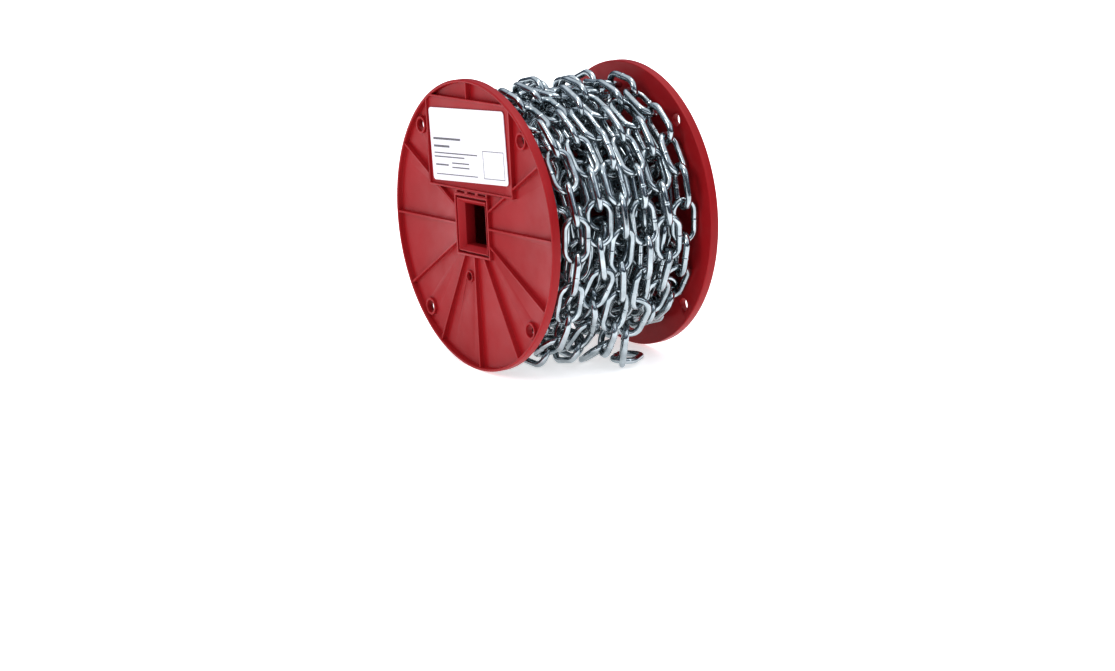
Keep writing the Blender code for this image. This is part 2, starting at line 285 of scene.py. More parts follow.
# Stage, lights and camera, in metres and watts
FLOOR_HALF_SIZE = 8.0
FLOOR_GLOW = 0.65
LIGHT_TARGET = (0.0, 0.0, 0.11)
LIGHTS = (
    ("key", (0.5, -2.5, 1.6), (0.7, 1.3), 22.0),
    ("side", (2.6, 0.9, 1.5), (0.4, 1.4), 6.0),
    ("top", (0.2, 0.3, 2.4), (1.0, 0.8), 14.0),
)
WORLD_STOPS = (
    (0.0, (0.03, 0.04, 0.06)),
    (0.15, (0.06, 0.08, 0.11)),
    (0.4, (0.30, 0.34, 0.40)),
    (0.7, (0.92, 0.95, 1.0)),
    (1.0, (1.0, 1.0, 1.0)),
)
WORLD_STRENGTH = 1.3
CAMERA_AZIMUTH = math.radians(56.5606)
CAMERA_PITCH = math.radians(15.4607)
CAMERA_PLACE = (1.99879, -1.31726, 0.67609)
CAMERA_SENSOR = 36.0
CAMERA_LENS = 106.608
VIEW_GAMMA = 0.8


def make_object(name, mesh, material=None):
    obj = bpy.data.objects.new(name, mesh)
    bpy.context.scene.collection.objects.link(obj)
    if material is not None:
        mesh.materials.clear()
        mesh.materials.append(material)
    return obj


def bmesh_object(name, bm):
    bmesh.ops.recalc_face_normals(bm, faces=bm.faces)
    mesh = bpy.data.meshes.new(name)
    bm.to_mesh(mesh)
    bm.free()
    return make_object(name, mesh)


def applied_mesh(obj):
    """A new mesh of the object with its modifiers applied."""
    bpy.context.view_layer.update()
    depsgraph = bpy.context.evaluated_depsgraph_get()
    return bpy.data.meshes.new_from_object(obj.evaluated_get(depsgraph))


# Materials

def new_material(name):
    material = bpy.data.materials.new(name)
    material.use_nodes = True
    nodes = material.node_tree.nodes
    return material, nodes, material.node_tree.links, nodes["Principled BSDF"]


def add_place(nodes):
    return nodes.new("ShaderNodeTexCoord").outputs["Object"]


def add_noise(nodes, links, vector, scale, detail, rough=0.5):
    noise = nodes.new("ShaderNodeTexNoise")
    noise.inputs["Scale"].default_value = scale
    noise.inputs["Detail"].default_value = detail
    noise.inputs["Roughness"].default_value = rough
    links.new(vector, noise.inputs["Vector"])
    return noise.outputs["Fac"]


def add_ramp(nodes, links, fac, stops):
    ramp = nodes.new("ShaderNodeValToRGB")
    while len(ramp.color_ramp.elements) < len(stops):
        ramp.color_ramp.elements.new(0.5)
    for element, (place, colour) in zip(ramp.color_ramp.elements, stops):
        element.position = place
        element.color = (*colour, 1.0)
    links.new(fac, ramp.inputs["Fac"])
    return ramp.outputs["Color"]


def add_range(nodes, links, value, low, high, to_low, to_high):
    node = nodes.new("ShaderNodeMapRange")
    node.inputs["From Min"].default_value = low
    node.inputs["From Max"].default_value = high
    node.inputs["To Min"].default_value = to_low
    node.inputs["To Max"].default_value = to_high
    links.new(value, node.inputs["Value"])
    return node.outputs["Result"]


def add_bump(nodes, links, height, strength, distance):
    bump = nodes.new("ShaderNodeBump")
    bump.inputs["Strength"].default_value = strength
    bump.inputs["Distance"].default_value = distance
    links.new(height, bump.inputs["Height"])
    return bump.outputs["Normal"]


def make_plastic():
    """Glossy moulded red plastic with flow marks and a fine grain."""
    material, nodes, links, shader = new_material("moulded_red_plastic")
    place = add_place(nodes)
    flow = add_noise(nodes, links, place, scale=18.0, detail=3.0)
    reds = [(0.3, (0.31, 0.009, 0.013)), (0.7, (0.36, 0.012, 0.018))]
    links.new(add_ramp(nodes, links, flow, reds), shader.inputs["Base Color"])
    smear = add_noise(nodes, links, place, scale=60.0, detail=5.0, rough=0.6)
    gloss = add_range(nodes, links, smear, low=0.3, high=0.7, to_low=0.30, to_high=0.46)
    links.new(gloss, shader.inputs["Roughness"])
    grain = add_noise(nodes, links, place, scale=2200.0, detail=2.0)
    links.new(add_bump(nodes, links, grain, strength=0.12, distance=0.00005), shader.inputs["Normal"])
    shader.inputs["Specular IOR Level"].default_value = 0.3
    return material


def make_paper():
    """White label stock with a fine fibre."""
    material, nodes, links, shader = new_material("label_stock")
    fibre = add_noise(nodes, links, add_place(nodes), scale=400.0, detail=4.0)
    whites = [(0.3, (0.76, 0.73, 0.77)), (0.7, (0.82, 0.79, 0.83))]
    links.new(add_ramp(nodes, links, fibre, whites), shader.inputs["Base Color"])
    shader.inputs["Roughness"].default_value = 0.5
    links.new(add_bump(nodes, links, fibre, strength=0.1, distance=0.00005), shader.inputs["Normal"])
    return material


def make_ink():
    """Grey print that takes up the paper's grain."""
    material, nodes, links, shader = new_material("grey_print")
    grain = add_noise(nodes, links, add_place(nodes), scale=900.0, detail=3.0)
    greys = [(0.35, (0.10, 0.10, 0.11)), (0.65, (0.22, 0.21, 0.23))]
    links.new(add_ramp(nodes, links, grain, greys), shader.inputs["Base Color"])
    shader.inputs["Roughness"].default_value = 0.55
    return material


def make_zinc():
    """Bright zinc plate: blue-grey, glossy, with duller patches and a faint orange peel."""
    material, nodes, links, shader = new_material("bright_zinc")
    place = add_place(nodes)
    shader.inputs["Metallic"].default_value = 1.0
    patch = add_noise(nodes, links, place, scale=90.0, detail=3.0)
    greys = [(0.3, (0.33, 0.375, 0.40)), (0.7, (0.54, 0.59, 0.615))]
    links.new(add_ramp(nodes, links, patch, greys), shader.inputs["Base Color"])
    haze = add_noise(nodes, links, place, scale=260.0, detail=4.0, rough=0.6)
    gloss = add_range(nodes, links, haze, low=0.3, high=0.75, to_low=0.10, to_high=0.26)
    links.new(gloss, shader.inputs["Roughness"])
    peel = add_noise(nodes, links, place, scale=700.0, detail=2.0)
    links.new(add_bump(nodes, links, peel, strength=0.25, distance=0.0001), shader.inputs["Normal"])
    return material


# Outlines and solids

def rectangle(x_low, x_high, z_low, z_high):
    return [(x_low, z_low), (x_high, z_low), (x_high, z_high), (x_low, z_high)]


def square(size):
    half = size / 2.0
    return rectangle(-half, half, -half, half)


def circle(centre, radius, sides):
    step = 2.0 * math.pi / sides
    return [(centre[0] + radius * math.cos(i * step), centre[1] + radius * math.sin(i * step))
            for i in range(sides)]


def add_ring(bm, outline, y):
    return [bm.verts.new((x * MM, y * MM, z * MM)) for x, z in outline]


def add_prism(bm, low_outline, high_outline, y_low, y_high):
    """A prism along Y between two outlines of (x, z) corners, which may differ in size."""
    low = add_ring(bm, low_outline, y_low)
    high = add_ring(bm, high_outline, y_high)
    bm.faces.new(low)
    bm.faces.new(list(reversed(high)))
    count = len(low)
    for i in range(count):
        j = (i + 1) % count
        bm.faces.new((low[j], low[i], high[i], high[j]))


def prisms(outlines, y_low, y_high):
    bm = bmesh.new()
    for outline in outlines:
        add_prism(bm, outline, outline, y_low, y_high)
    return bm


def swept_rings(outlines):
    """A closed tube through rings of (outline, y), of which the last joins the first."""
    bm = bmesh.new()
    rings = [add_ring(bm, outline, y) for outline, y in outlines]
    count = len(rings[0])
    for k in range(len(rings)):
        here = rings[k]
        after = rings[(k + 1) % len(rings)]
        for i in range(count):
            j = (i + 1) % count
            bm.faces.new((here[i], here[j], after[j], after[i]))
    return bm


def turned(points, sides):
    """Turn a closed outline of (radius, y) points about the Y axis."""
    bm = bmesh.new()
    rings = []
    for i in range(sides):
        angle = (i + 0.5) * 2.0 * math.pi / sides
        c = math.cos(angle) * MM
        s = math.sin(angle) * MM
        rings.append([bm.verts.new((r * c, y * MM, r * s)) for r, y in points])
    for i in range(sides):
        here = rings[i]
        after = rings[(i + 1) % sides]
        for k in range(len(points)):
            n = (k + 1) % len(points)
            bm.faces.new((here[k], here[n], after[n], after[k]))
    return bm


# Flanges

def flange_dish():
    """Rim, dished web and spigot, with an opening where the hub goes."""
    inner_rim = REEL_RADIUS - RIM_WALL
    spigot_end = FLANGE_DEPTH + SPIGOT_LENGTH
    points = [
        (REEL_RADIUS - RIM_ROUND, 0.0),
        (REEL_RADIUS, RIM_ROUND),
        (REEL_RADIUS, FLANGE_DEPTH - RIM_ROUND),
        (REEL_RADIUS - RIM_ROUND, FLANGE_DEPTH),
        (SPIGOT_RADIUS, FLANGE_DEPTH),
        (SPIGOT_RADIUS, spigot_end),
        (SPIGOT_RADIUS - SPIGOT_WALL, spigot_end),
        (SPIGOT_RADIUS - SPIGOT_WALL, FLANGE_DEPTH),
        (HUB_OPENING, FLANGE_DEPTH),
        (HUB_OPENING, RECESS_AT_HUB),
        (inner_rim - RIM_CHAMFER, RECESS_AT_RIM),
        (inner_rim, RIM_CHAMFER),
        (inner_rim + RIM_CHAMFER, 0.0),
    ]
    return turned(points, RIM_SIDES)


def rib_outline(angle, r_low, r_high, thickness):
    along = Vector((math.cos(angle), math.sin(angle)))
    across = Vector((-along.y, along.x)) * (thickness / 2.0)
    near = along * r_low
    far = along * r_high
    return [(c.x, c.y) for c in (near - across, far - across, far + across, near + across)]


def flange_ribs():
    """Ribs from the hub to the rim, thicker at their root."""
    bm = bmesh.new()
    rim = REEL_RADIUS - RIM_WALL / 2.0
    for degrees in range(0, 360, RIB_STEP):
        if degrees in RIBS_LEFT_OUT:
            continue
        start = POCKET_TOP - POCKET_WALL / 2.0 if degrees == RIB_ABOVE_POCKET else RIB_START
        angle = math.radians(degrees)
        top = rib_outline(angle, start, rim, RIB_TOP)
        base = rib_outline(angle, start, rim, RIB_BASE)
        add_prism(bm, top, base, RIB_DROP, RIB_ROOT)
    return bm


def pocket_outline(inset, radius):
    """The label pocket's outline, with its top corners cut by the rim."""
    half = POCKET_HALF_WIDTH - inset
    low = POCKET_BOTTOM + inset
    high = POCKET_TOP - inset
    side_top = math.sqrt(radius ** 2 - half ** 2)
    top_half = math.sqrt(radius ** 2 - high ** 2)
    right = [(half, low), (half, side_top), (top_half, high)]
    return [(-half, low)] + right + [(-top_half, high), (-half, side_top)]


def pocket_frame():
    """The wall round the label pocket."""
    outer = pocket_outline(0.0, REEL_RADIUS - RIM_WALL / 2.0)
    inner = pocket_outline(POCKET_WALL, REEL_RADIUS - RIM_WALL)
    outside = [(outer, POCKET_DROP), (outer, POCKET_ROOT)]
    inside = [(inner, POCKET_ROOT), (inner, POCKET_DROP)]
    return swept_rings(outside + inside)


def hub_frame():
    """A raised square frame, a groove, and a bevelled frame that leads into the arbor socket."""
    outer = HUB_SIZE / 2.0
    groove = outer - HUB_FRAME
    mouth = groove - HUB_GROOVE
    arbor = ARBOR_SIZE / 2.0
    socket = SOCKET_SIZE / 2.0
    profile = (
        (outer, HUB_ROOT),
        (outer, 0.0),
        (groove, 0.0),
        (groove, HUB_GROOVE_DEPTH),
        (mouth, HUB_GROOVE_DEPTH),
        (mouth, MOUTH_DROP),
        (mouth - MOUTH_LIP, MOUTH_DROP),
        (arbor + MOUTH_EDGE, MOUTH_DEPTH - MOUTH_EDGE_DEPTH),
        (arbor, MOUTH_DEPTH),
        (arbor, SOCKET_DEPTH),
        (socket, SOCKET_DEPTH),
        (socket, HUB_ROOT),
    )
    return swept_rings([(square(2.0 * half), y) for half, y in profile])


def strip_and_slots():
    """Outlines of the strip between the hub and the pocket, and of the slots in it."""
    hub_edge = HUB_SIZE / 2.0
    strip = rectangle(-STRIP_HALF_WIDTH, STRIP_HALF_WIDTH, hub_edge - CUT_OVER, POCKET_BOTTOM + STRIP_LAP)
    low = (hub_edge + POCKET_BOTTOM) / 2.0 - SLOT_HALF_HEIGHT
    high = low + 2.0 * SLOT_HALF_HEIGHT
    slots = [rectangle(x - SLOT_HALF_LENGTH, x + SLOT_HALF_LENGTH, low, high)
             for x in (-SLOT_PITCH, 0.0, SLOT_PITCH)]
    return strip, slots


def flange_steps():
    """What is joined to the dish or cut from it, in order."""
    holes = [(sx * TIE_HOLE_OFFSET, sz * TIE_HOLE_OFFSET) for sx in (-1, 1) for sz in (-1, 1)]
    bosses = [circle(at, TIE_BOSS_RADIUS, TIE_BOSS_SIDES) for at in holes]
    bosses.append(circle(SMALL_HOLE_AT, SMALL_BOSS_RADIUS, SMALL_BOSS_SIDES))
    bores = [circle(at, TIE_HOLE_RADIUS, TIE_HOLE_SIDES) for at in holes]
    bores.append(circle(SMALL_HOLE_AT, SMALL_HOLE_RADIUS, SMALL_HOLE_SIDES))
    pocket = pocket_outline(POCKET_WALL / 2.0, REEL_RADIUS - RIM_WALL)
    strip, slots = strip_and_slots()
    hub_space = square(HUB_SIZE - HUB_FRAME)
    return (
        (flange_ribs(), "UNION"),
        (prisms([pocket], -CUT_OVER, POCKET_FLOOR), "DIFFERENCE"),
        (prisms([pocket], POCKET_FLOOR, POCKET_ROOT), "UNION"),
        (pocket_frame(), "UNION"),
        (prisms([strip], STRIP_DROP, STRIP_ROOT), "UNION"),
        (prisms([hub_space], -CUT_OVER, HUB_ROOT - CUT_OVER), "DIFFERENCE"),
        (hub_frame(), "UNION"),
        (prisms(bosses, BOSS_DROP, BOSS_ROOT), "UNION"),
        (prisms(slots, -CUT_OVER, SLOT_DEPTH), "DIFFERENCE"),
        (prisms(bores, -CUT_OVER, FLANGE_DEPTH + CUT_OVER), "DIFFERENCE"),
    )


def joined_flange():
    """The dish with every step carried out, and many-sided faces cut into triangles."""
    body = bmesh_object("flange_blank", flange_dish())
    tools = []
    for number, (bm, operation) in enumerate(flange_steps()):
        tool = bmesh_object("flange_tool_%d" % number, bm)
        tools.append(tool)
        modifier = body.modifiers.new("step_%d" % number, "BOOLEAN")
        modifier.operation = operation
        modifier.solver = "EXACT"
        modifier.object = tool
    mesh = applied_mesh(body)
    for tool in tools + [body]:
        bpy.data.objects.remove(tool)
    bm = bmesh.new()
    bm.from_mesh(mesh)
    bmesh.ops.remove_doubles(bm, verts=bm.verts, dist=MERGE_DISTANCE * MM)
    bmesh.ops.triangulate(bm, faces=[face for face in bm.faces if len(face.verts) > 4])
    bm.to_mesh(mesh)
    bm.free()
    return mesh


def soften_edges(mesh):
    """The mesh with its sharper edges rounded, smooth where it isn't sharp."""
    obj = make_object("flange_smooth", mesh)
    bevel = obj.modifiers.new("edges", "BEVEL")
    bevel.width = EDGE_ROUND * MM
    bevel.segments = EDGE_SEGMENTS
    bevel.limit_method = "ANGLE"
    bevel.angle_limit = ROUNDED_FROM
    bevel.use_clamp_overlap = False
    softened = applied_mesh(obj)
    bpy.data.objects.remove(obj)
    softened.shade_smooth()
    softened.set_sharp_from_angle(angle=SHARP_FROM)
    return softened


# Label

def make_label(material, matrix):
    """The label, with softly rounded corners, stuck a little askew."""
    half_x = LABEL_SIZE[0] / 2.0 - LABEL_CORNER
    half_z = LABEL_SIZE[1] / 2.0 - LABEL_CORNER
    outline = []
    for quarter, (sx, sz) in enumerate(((1, 1), (-1, 1), (-1, -1), (1, -1))):
        for step in range(LABEL_CORNER_STEPS + 1):
            angle = math.radians(90.0 * quarter + 90.0 * step / LABEL_CORNER_STEPS)
            outline.append((sx * half_x + LABEL_CORNER * math.cos(angle),
                            sz * half_z + LABEL_CORNER * math.sin(angle)))
    label = bmesh_object("paper_label", prisms([outline], LABEL_BACK - LABEL_THICKNESS, LABEL_BACK))
    label.data.materials.append(material)
    centre = Matrix.Translation((LABEL_CENTRE[0] * MM, 0.0, LABEL_CENTRE[1] * MM))
    tilt = centre @ Matrix.Rotation(-LABEL_TILT, 4, "Y")
    label.matrix_world = matrix @ tilt
    return label


def make_label_print(material, label):
    """Grey rules and an empty box, as on a blank form."""
    box_x, box_z, box_width, box_height = LABEL_BOX
    line = LABEL_BOX_LINE
    bars = list(LABEL_RULES)
    bars += [(box_x, box_z + side * box_height / 2.0, box_width + line, line) for side in (-1, 1)]
    bars += [(box_x + side * box_width / 2.0, box_z, line, box_height) for side in (-1, 1)]
    outlines = [rectangle(x - width / 2.0, x + width / 2.0, z - height / 2.0, z + height / 2.0)
                for x, z, width, height in bars]
    front = LABEL_BACK - LABEL_THICKNESS
    rules = bmesh_object("label_rules", prisms(outlines, front - INK_LIFT, front))
    rules.data.materials.append(material)
    rules.matrix_world = label.matrix_world
    return rules


# One link

def crown_rings(side, crown_steps):
    """Places and outward directions round one end of a link's centre line."""
    rings = []
    for step in range(crown_steps + 1):
        angle = side * math.pi / 2.0 - math.pi * step / crown_steps
        out_x = math.cos(angle)
        out_y = math.sin(angle)
        rings.append((side * BAR_HALF_LENGTH + CROWN_RADIUS * out_x, CROWN_RADIUS * out_y, out_x, out_y, 1.0))
    return rings


def link_template(sides, crown_steps, welded):
    """Vertices and faces of one link in its own frame: x along, y across, z its normal."""
    profile = WELD_PROFILE if welded else ((0.0, 1.0),)
    rings = [(x, CROWN_RADIUS, 0.0, 1.0, thickness) for x, thickness in profile]
    rings += crown_rings(1.0, crown_steps)
    rings.append((0.0, -CROWN_RADIUS, 0.0, -1.0, 1.0))
    rings += crown_rings(-1.0, crown_steps)
    vertices = []
    for x, y, out_x, out_y, thickness in rings:
        reach = WIRE_RADIUS * thickness
        for k in range(sides):
            turn = 2.0 * math.pi * k / sides
            across = math.cos(turn)
            vertices.append((x + out_x * reach * across, y + out_y * reach * across, reach * math.sin(turn)))
    faces = []
    count = len(rings)
    for i in range(count):
        j = (i + 1) % count
        for k in range(sides):
            n = (k + 1) % sides
            faces.append((i * sides + k, i * sides + n, j * sides + n, j * sides + k))
    return np.array(vertices), np.array(faces)


def collision_loop():
    """A link's wire as twelve points round its centre line."""
    points = []
    for side in (1.0, -1.0):
        for step in range(LOOP_STEPS + 1):
            angle = side * math.pi / 2.0 - math.pi * step / LOOP_STEPS
            x = side * BAR_HALF_LENGTH + CROWN_RADIUS * math.cos(angle)
            points.append((x, CROWN_RADIUS * math.sin(angle), 0.0))
        points.append((0.0, -side * CROWN_RADIUS, 0.0))
    return np.array(points)


# Winding

def unit(vector):
    return vector / np.linalg.norm(vector)


def place_round_drum(radius, angle, y):
    return np.array((radius * math.cos(angle), y, REEL_CENTRE_Z + radius * math.sin(angle)))


def sag_share(angle):
    """How much of the sag there is at this angle, from 0 to 1."""
    from_sag = (angle - SAG_ANGLE + math.pi) % (2.0 * math.pi) - math.pi
    return math.exp(-(from_sag / SAG_SPREAD) ** 2)


def front_turns():
    """How far the chain has turned round the drum at each turn's front link."""
    return [START_ANGLE - math.radians(angle) + 2.0 * math.pi * (turn + 1)
            for turn, (angle, _, _) in enumerate(FRONT_LINKS)]


def outer_point(turned_angle):
    """The outer layer's centre line, after it has turned this far round the drum."""
    angle = START_ANGLE - turned_angle
    y = np.interp(turned_angle, [0.0] + front_turns(), [START_Y] + [y for _, y, _ in FRONT_LINKS])
    sags = turned_angle < 2.0 * math.pi * SAG_TURNS
    sag_depth = SAG_DEPTH + SAG_GROWTH * (y - START_Y) if sags else 0.0
    radius = WRAP_RADIUS + WRAP_RISE * math.sin(angle) + WRAP_FLARE * y
    radius += WAVE_HEIGHT * math.sin(WAVE_RATE * turned_angle + WAVE_PHASE)
    radius += sag_depth * sag_share(angle)
    depth = math.sin(-angle)
    if depth > LOW_PART:
        radius = min(radius, (REEL_RADIUS - FLOOR_CLEARANCE) / depth)
    return place_round_drum(radius, angle, y)


def inner_point(layer, turned_angle):
    """A hidden layer's centre line, after it has turned this far round the drum."""
    angle = START_ANGLE + layer["phase"] - turned_angle
    y = layer["start_y"] + layer["pitch"] * turned_angle / (2.0 * math.pi)
    wave = math.sin(INNER_WAVE_RATE * turned_angle + layer["radius"])
    radius = layer["radius"] + INNER_WAVE_HEIGHT * wave
    radius += layer["sag"] * sag_share(angle)
    return place_round_drum(radius, angle, y)


def spread_links(point, stops, counts):
    """How far the chain has turned at each link, evenly spaced along its path between the stops."""
    places = [stops[0]]
    for start, end, count in zip(stops, stops[1:], counts):
        angles = np.linspace(start, end, PATH_STEPS * count)
        path = np.array([point(angle) for angle in angles])
        travelled = np.concatenate(([0.0], np.cumsum(np.linalg.norm(np.diff(path, axis=0), axis=1))))
        places += list(np.interp(np.linspace(0.0, travelled[-1], count + 1)[1:], travelled, angles))
    return places


def lean_link(centre, along, roll):
    """A link's centre, and its frame of along, across and normal, rolled from flat on the drum."""
    along = unit(along)
    outward = centre - np.array((0.0, centre[1], REEL_CENTRE_Z))
    sideways = unit(np.cross(outward, along))
    if sideways[1] < 0.0:
        sideways = -sideways
    outward = unit(outward - along * outward.dot(along))
    across = sideways * math.cos(roll) + outward * math.sin(roll)
    return centre, np.stack((along, across, np.cross(along, across)), axis=1)


def wind(point, places, flat_lean, edge_lean, random, looseness):
    """Links at these places along a path: every other one is on edge."""
    links = []
    for index, place in enumerate(places):
        centre = point(place)
        along = unit(point(place + PATH_NUDGE) - point(place - PATH_NUDGE))
        along = unit(along + random.normal(0.0, looseness, 3))
        roll = (edge_lean if index % 2 else flat_lean(place)) + random.normal(0.0, 2.0 * looseness)
        links.append(lean_link(centre, along, roll))
    return links


def outer_run(stops, counts, random):
    front = front_turns()
    leans = [math.radians(lean) for _, _, lean in FRONT_LINKS]

    def flat_lean(place):
        return float(np.interp(place, front, leans))

    places = spread_links(outer_point, stops, counts)
    return wind(outer_point, places, flat_lean, EDGE_LEAN, random, OUTER_LOOSENESS)


def outer_runs(random):
    """The outer layer: its near run, its far run that starts below the near run's end, and the free end."""
    front = front_turns()
    near_stops = [NEAR_START] + front[:4] + [front[3] + NEAR_OVERRUN]
    far_stops = [front[4] - FAR_LEAD] + front[4:] + [front[5] + FAR_OVERRUN]
    near = outer_run(near_stops, NEAR_LINKS, random)
    far = outer_run(far_stops, FAR_LINKS, random)
    return near, far, free_end(near[-1])


def free_end(last_wound):
    """The three links that hang off the winding, hooked onto its last link."""
    centre, turn = last_wound
    hook = centre + turn[:, 0] * LINK_PITCH * HOOK_REACH
    along = unit(np.array(LOOSE_ALONG))
    loose = lean_link(hook + along * LINK_PITCH / 2.0, along, EDGE_LEAN + math.pi / 2.0)
    down = unit(np.array(HANG_ALONG))
    across = np.array(HANG_ACROSS)
    across = unit(across - down * across.dot(down))
    hanging_centre = hook + (along + down * 0.5) * LINK_PITCH
    hanging = (hanging_centre, np.stack((down, across, np.cross(down, across)), axis=1))
    last = unit(np.array(LAST_ALONG))
    level = unit(np.cross(last, (0.0, 0.0, -1.0)))
    lying_centre = hanging_centre + (down + last) * LINK_PITCH / 2.0
    lying = (lying_centre, np.stack((last, level, np.cross(last, level)), axis=1))
    return [loose, hanging, lying]


def inner_run(layer, random):
    """A hidden layer, whose flat links sway slowly from side to side."""
    def point(turned_angle):
        return inner_point(layer, turned_angle)

    def flat_lean(place):
        return lean + INNER_SWAY * math.sin(INNER_SWAY_RATE * place)

    end = INNER_TURNS * 2.0 * math.pi
    count = int(end * layer["radius"] / LINK_PITCH)
    places = spread_links(point, [0.0, end], [count])
    lean = random.normal(0.0, INNER_LEAN_SPREAD)
    return wind(point, places, flat_lean, INNER_EDGE_LEAN, random, INNER_LOOSENESS)


# Pushing apart

def small_turns(vectors):
    """Rotation matrices of small rotation vectors."""
    size = np.linalg.norm(vectors, axis=1)
    axis = vectors / np.maximum(size, 1e-12)[:, None]
    cross = np.zeros((len(vectors), 3, 3))
    cross[:, 0, 1], cross[:, 0, 2] = -axis[:, 2], axis[:, 1]
    cross[:, 1, 0], cross[:, 1, 2] = axis[:, 2], -axis[:, 0]
    cross[:, 2, 0], cross[:, 2, 1] = -axis[:, 1], axis[:, 0]
    s = np.sin(size)[:, None, None]
    c = (1.0 - np.cos(size))[:, None, None]
    return np.eye(3) + s * cross + c * (cross @ cross)


def nearest_on_bars(p, d, q, e):
    """The nearest points of pairs of bars p + s d and q + t e."""
    r = p - q
    a = (d * d).sum(1)
    b = (d * e).sum(1)
    c = (d * r).sum(1)
    g = (e * e).sum(1)
    f = (e * r).sum(1)
    s = np.clip((b * f - c * g) / np.maximum(a * g - b * b, TINY), 0.0, 1.0)
    t = np.clip((b * s + f) / g, 0.0, 1.0)
    s = np.clip((t * b - c) / a, 0.0, 1.0)
    return p + d * s[:, None], q + e * t[:, None]


def near_pairs(centres):
    """Pairs of links near enough to touch within the next few steps."""
    gaps = ((centres[:, None] - centres[None]) ** 2).sum(-1)
    return np.nonzero(np.triu(gaps < PAIR_REACH ** 2, 1))


def find_contacts(wire, first, second):
    """Where these pairs of links overlap: both links, the point, its normal and the wires' distance."""
    bar = np.roll(wire, -1, axis=1) - wire
    middle = wire + bar / 2.0
    apart = middle[first][:, :, None, :] - middle[second][:, None, :, :]
    pair, one, other = np.nonzero((apart ** 2).sum(-1) < (BAR_REACH + 2.0 * WIRE_RADIUS) ** 2)
    a = first[pair]
    b = second[pair]
    near_a, near_b = nearest_on_bars(wire[a, one], bar[a, one], wire[b, other], bar[b, other])
    normal = near_a - near_b
    distance = np.linalg.norm(normal, axis=1)
    touching = distance < 2.0 * WIRE_RADIUS
    normal = normal[touching]
    distance = distance[touching]
    normal /= np.maximum(distance, 1e-6)[:, None]
    contact = (near_a[touching] + near_b[touching]) / 2.0
    return a[touching], b[touching], contact, normal, distance


def add_pushes(moves, links, away, arm, push):
    """Add to the shift, turn and count of hits of each pushed link."""
    shift, turn, hits = moves
    np.add.at(shift, links, away * push[:, None])
    np.add.at(turn, links, arm * (push / LINK_INERTIA)[:, None])
    np.add.at(hits, links, 1.0)


def push_links(moves, centres, wire, first, second):
    """Push each two overlapping links away from each other."""
    a, b, contact, normal, distance = find_contacts(wire, first, second)
    arm_a = np.cross(contact - centres[a], normal)
    arm_b = np.cross(contact - centres[b], normal)
    weight = 2.0 + ((arm_a ** 2).sum(1) + (arm_b ** 2).sum(1)) / LINK_INERTIA
    push = (2.0 * WIRE_RADIUS - distance) / weight
    add_pushes(moves, a, normal, arm_a, push)
    add_pushes(moves, b, -normal, -arm_b, push)


def push_off_walls(moves, centres, wire):
    """Push links up from the floor, in from the flanges and out from the drum."""
    side = SIDE_LIMIT - WIRE_RADIUS - SIDE_GAP
    from_axis = np.hypot(wire[:, :, 0], wire[:, :, 2] - REEL_CENTRE_Z)
    outwards = np.stack((wire[:, :, 0], np.zeros_like(from_axis), wire[:, :, 2] - REEL_CENTRE_Z), -1)
    walls = (
        (WIRE_RADIUS - wire[:, :, 2], np.broadcast_to((0.0, 0.0, 1.0), wire.shape)),
        (wire[:, :, 1] - side, np.broadcast_to((0.0, -1.0, 0.0), wire.shape)),
        (-wire[:, :, 1] - side, np.broadcast_to((0.0, 1.0, 0.0), wire.shape)),
        (INNER_LIMIT + WIRE_RADIUS - from_axis, outwards / from_axis[:, :, None]),
    )
    for depth, directions in walls:
        who, where = np.nonzero(depth > 0.0)
        away = directions[who, where]
        arm = np.cross(wire[who, where] - centres[who], away)
        push = depth[who, where] / (1.0 + (arm ** 2).sum(1) / LINK_INERTIA)
        add_pushes(moves, who, away, arm, push)


def no_longer_than(vectors, limit):
    size = np.linalg.norm(vectors, axis=1)
    return vectors * np.minimum(1.0, limit / np.maximum(size, TINY))[:, None]


def settle(centres, frames, steps, holds):
    """Push overlapping links apart as rigid bodies, inside the reel and above the floor.

    Each link is drawn back to where it started by its hold, from 0 to 1, less and less so."""
    loop = collision_loop()
    count = len(centres)
    home = centres.copy()
    home_frames = frames.copy()
    fixed = holds >= 1.0
    for step in range(steps):
        if step % PAIRS_EVERY == 0:
            first, second = near_pairs(centres)
        wire = centres[:, None, :] + np.einsum("nij,pj->npi", frames, loop)
        moves = (np.zeros((count, 3)), np.zeros((count, 3)), np.zeros(count))
        push_links(moves, centres, wire, first, second)
        push_off_walls(moves, centres, wire)
        shift, turn, hits = moves
        ease = (PUSH_EASE / np.maximum(hits, 1.0) ** CROWD_POWER)[:, None]
        hold = (holds * max(0.0, 1.0 - step / (HOLD_UNTIL * steps)))[:, None]
        homewards = np.cross(frames, home_frames, axis=1).sum(axis=2)
        shift = no_longer_than(shift * ease + (home - centres) * hold, LONGEST_SHIFT)
        turn = no_longer_than(turn * ease + homewards * TURN_HOLD * hold, LARGEST_TURN)
        shift[fixed] = 0.0
        turn[fixed] = 0.0
        centres += shift
        frames = small_turns(turn) @ frames
    left, _, right = np.linalg.svd(frames)
    return centres, left @ right


# Chain

